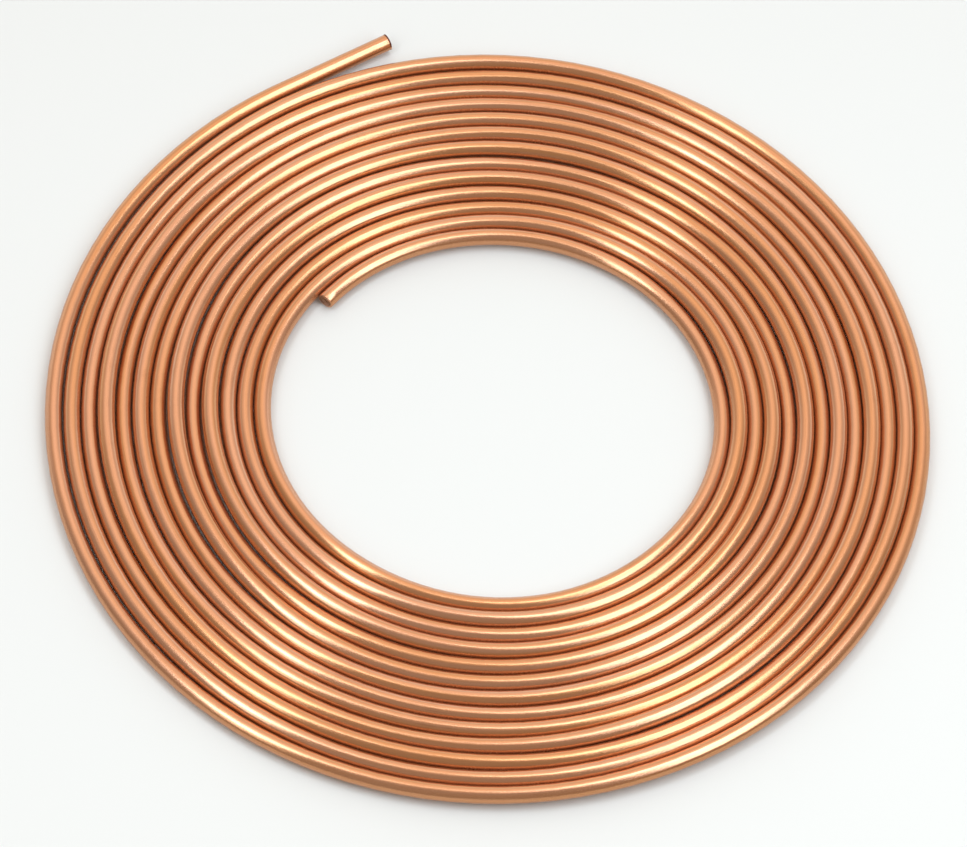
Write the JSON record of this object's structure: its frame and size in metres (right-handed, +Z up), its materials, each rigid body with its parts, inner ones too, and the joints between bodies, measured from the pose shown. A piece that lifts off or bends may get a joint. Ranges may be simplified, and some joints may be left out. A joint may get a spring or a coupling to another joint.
{
  "type": "copper tube coil",
  "caption": "Flat single-layer coil of soft round copper tube with an open eye and one straight free end, for gas, water or refrigerant lines.",
  "frame": {"origin": "on the floor at the middle of the coil's eye", "axes": "+Z up along the coil's axis; the straight free end leaves the outermost turn along +X, on the +Y side"},
  "size_m": [0.4908, 0.4959, 0.0095],
  "materials": {
    "copper": "bright drawn copper, lightly streaked along its length"
  },
  "bodies": {
    "root": {"copper_tube": "copper"}
  },
  "joints": []
}
